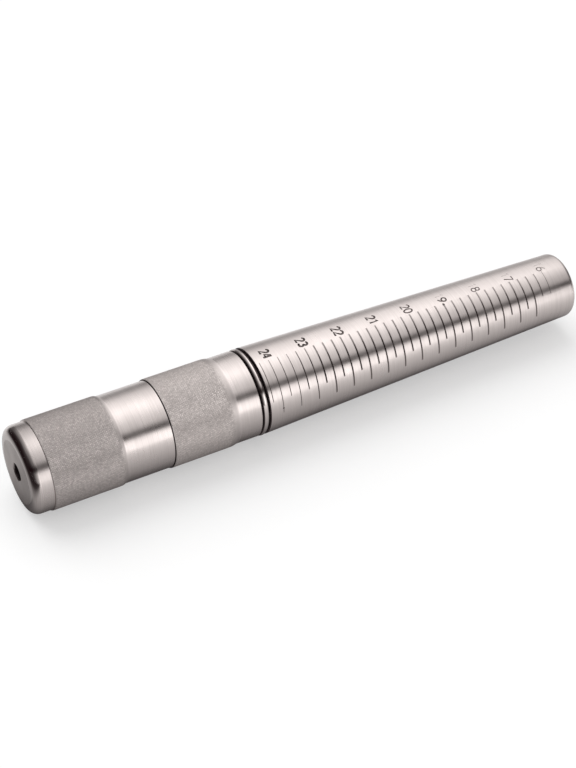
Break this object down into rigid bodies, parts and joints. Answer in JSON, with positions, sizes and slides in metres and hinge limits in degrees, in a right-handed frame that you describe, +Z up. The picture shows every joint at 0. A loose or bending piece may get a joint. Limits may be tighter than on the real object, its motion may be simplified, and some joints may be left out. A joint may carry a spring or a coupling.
{
  "type": "ring mandrel",
  "caption": "Tapered steel ring mandrel engraved with ring sizes, on a two-part knurled handle whose rear grip turns freely about the axis.",
  "frame": {"origin": "middle of the bounding box seen from above, on the ground under the knurled bands; the mandrel lies on its side", "axes": "+X along the mandrel's axis from the end cap to the tip, +Z up, the engraved numbers just in front of the top line and the marks on the -Y side"},
  "size_m": [0.2168, 0.032, 0.0321],
  "materials": {
    "ground_steel": "ground bright with fine marks round the taper",
    "knurled_steel": "turned, with fine diamond knurled bands",
    "turned_steel": "turned and lightly polished",
    "polished_steel": "round bead, polished bright",
    "bearing_bronze": "plain sintered bronze",
    "spring_steel": "oiled spring steel",
    "blacked_steel": "blacked steel",
    "pin_steel": "hardened and ground"
  },
  "bodies": {
    "grip": {"grip_sleeve": "knurled_steel", "end_cap": "turned_steel", "front_bush": "bearing_bronze", "rear_bush": "bearing_bronze"},
    "mandrel": {"mandrel": "ground_steel", "front_collar": "knurled_steel", "bead_ring": "polished_steel", "drive_pin_1": "pin_steel", "drive_pin_2": "pin_steel", "front_thrust_washer": "blacked_steel", "rear_thrust_washer": "bearing_bronze", "disc_spring_front": "spring_steel", "disc_spring_rear": "spring_steel", "clamp_washer": "pin_steel", "washer_pin": "pin_steel", "retaining_screw": "blacked_steel"}
  },
  "joints": [
    {"name": "grip_spin", "type": "hinge", "parent": "mandrel", "child": "grip", "pos_m": [-0.0845, 0, 0.01604], "axis": [1, 0, 0], "continuous": true}
  ]
}
